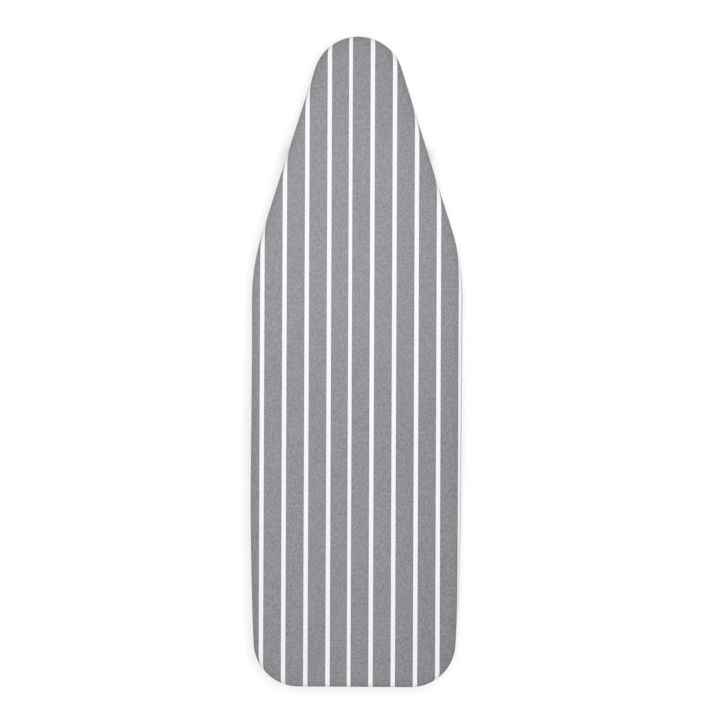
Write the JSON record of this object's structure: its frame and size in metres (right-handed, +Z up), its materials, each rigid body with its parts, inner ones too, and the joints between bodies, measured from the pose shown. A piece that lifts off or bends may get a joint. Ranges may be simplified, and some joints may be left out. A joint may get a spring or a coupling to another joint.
{
  "type": "ironing board",
  "caption": "Free-standing folding ironing board: padded nose-shaped top in a striped cotton cover on a tube rim, scissor legs, guide rails and a squeeze-lever height release.",
  "frame": {"origin": "on the floor, under the middle of the board", "axes": "+Z up, -X towards the pointed nose, +X towards the square tail, the user stands at -Y"},
  "size_m": [1.2199, 0.397, 0.88],
  "materials": {
    "cover_cotton": "matte",
    "pad_felt": "matte",
    "deck_steel": "satin",
    "frame_paint": "satin",
    "zinc_steel": "satin",
    "spring_steel": "satin",
    "dark_plastic": "matte",
    "white_nylon": "matte"
  },
  "bodies": {
    "top": {"cover": "cover_cotton", "foam_pad": "pad_felt", "steel_deck": "deck_steel", "rim_nose_tube": "frame_paint", "rim_tail_tube": "frame_paint", "rim_sleeves": "zinc_steel", "front_brace": "frame_paint", "middle_brace": "frame_paint", "rear_brace": "frame_paint", "rail_left": "frame_paint", "rail_right": "frame_paint", "rail_stops": "dark_plastic", "pivot_bracket_left": "frame_paint", "pivot_bracket_right": "frame_paint", "pivot_rod": "zinc_steel", "pivot_caps": "dark_plastic", "hanger_front": "frame_paint", "hanger_rear": "frame_paint", "latch_spring": "spring_steel"},
    "latch": {"latch_shaft": "zinc_steel", "latch_comb": "zinc_steel", "lever_arm": "zinc_steel", "lever_grip": "dark_plastic", "shaft_clips": "spring_steel"},
    "inner_leg": {"inner_tube_left": "frame_paint", "inner_tube_right": "frame_paint", "inner_brace": "frame_paint", "inner_foot_bar": "frame_paint", "inner_foot_caps": "dark_plastic", "inner_tube_plugs": "dark_plastic", "pivot_washers": "white_nylon", "cross_bolts": "zinc_steel", "cross_nuts": "zinc_steel", "cross_spacers": "white_nylon"},
    "outer_leg": {"outer_tube_left": "frame_paint", "outer_tube_right": "frame_paint", "outer_brace": "frame_paint", "outer_foot_bar": "frame_paint", "outer_foot_caps": "dark_plastic", "outer_tube_plugs": "dark_plastic", "slide_rod": "zinc_steel"},
    "slide_block_left": {"slide_block_left": "white_nylon"},
    "slide_block_right": {"slide_block_right": "white_nylon"}
  },
  "joints": [
    {"name": "leg_fold", "type": "hinge", "parent": "top", "child": "inner_leg", "pos_m": [-0.365, 0, 0.84729], "axis": [0, -1, 0], "range_deg": [0, 51]},
    {"name": "leg_scissor", "type": "hinge", "parent": "inner_leg", "child": "outer_leg", "pos_m": [-0.09462, 0, 0.47514], "axis": [0, -1, 0], "range_deg": [-102, 0]},
    {"name": "block_left_turn", "type": "hinge", "parent": "outer_leg", "child": "slide_block_left", "pos_m": [0.17576, 0.116, 0.84729], "axis": [0, -1, 0], "range_deg": [0, 51]},
    {"name": "block_right_turn", "type": "hinge", "parent": "outer_leg", "child": "slide_block_right", "pos_m": [0.17576, -0.116, 0.84729], "axis": [0, -1, 0], "range_deg": [0, 51]},
    {"name": "height_release", "type": "hinge", "parent": "top", "child": "latch", "pos_m": [0.142, -0.036, 0.83399], "axis": [-1, 0, 0], "range_deg": [0, 8], "stiffness_Nm_per_rad": 2, "springref_deg": -45.84, "deforming": ["latch_spring"]}
  ],
  "couplings": [
    {"joint": "leg_scissor", "follows": "leg_fold", "ratio": -2},
    {"joint": "block_left_turn", "follows": "leg_fold", "ratio": 1},
    {"joint": "block_right_turn", "follows": "leg_fold", "ratio": 1}
  ]
}
